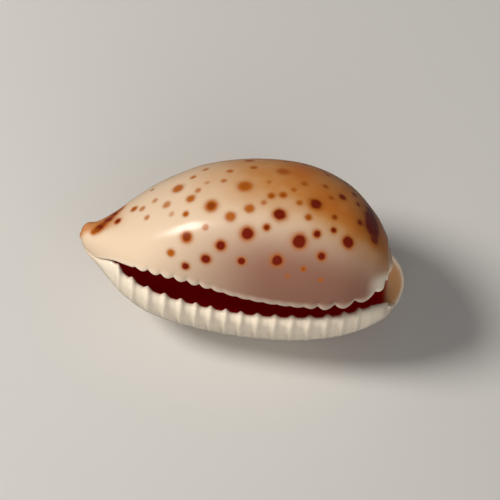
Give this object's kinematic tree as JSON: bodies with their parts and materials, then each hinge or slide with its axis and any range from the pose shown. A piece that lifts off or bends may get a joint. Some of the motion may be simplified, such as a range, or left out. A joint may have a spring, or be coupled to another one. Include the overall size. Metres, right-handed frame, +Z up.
{
  "type": "cowrie shell",
  "caption": "Glossy egg-shaped cowrie sea shell with dark spots, a long toothed aperture, a short pointed front beak and a hollow inside, lying on its outer-lip flank.",
  "frame": {"origin": "middle of the bounding box's bottom face, on the surface the shell lies on", "axes": "+X along the shell from the pointed front beak to the blunt rear, -Y out of the toothed aperture, +Y out of the domed back, +Z up from the outer-lip flank it lies on to the inner-lip flank"},
  "size_m": [0.072, 0.037, 0.0427],
  "materials": {
    "shell": "glossy, cream to tan with red-brown spots, ivory lips and a dark maroon inside"
  },
  "bodies": {
    "root": {"shell": "shell"}
  },
  "joints": []
}
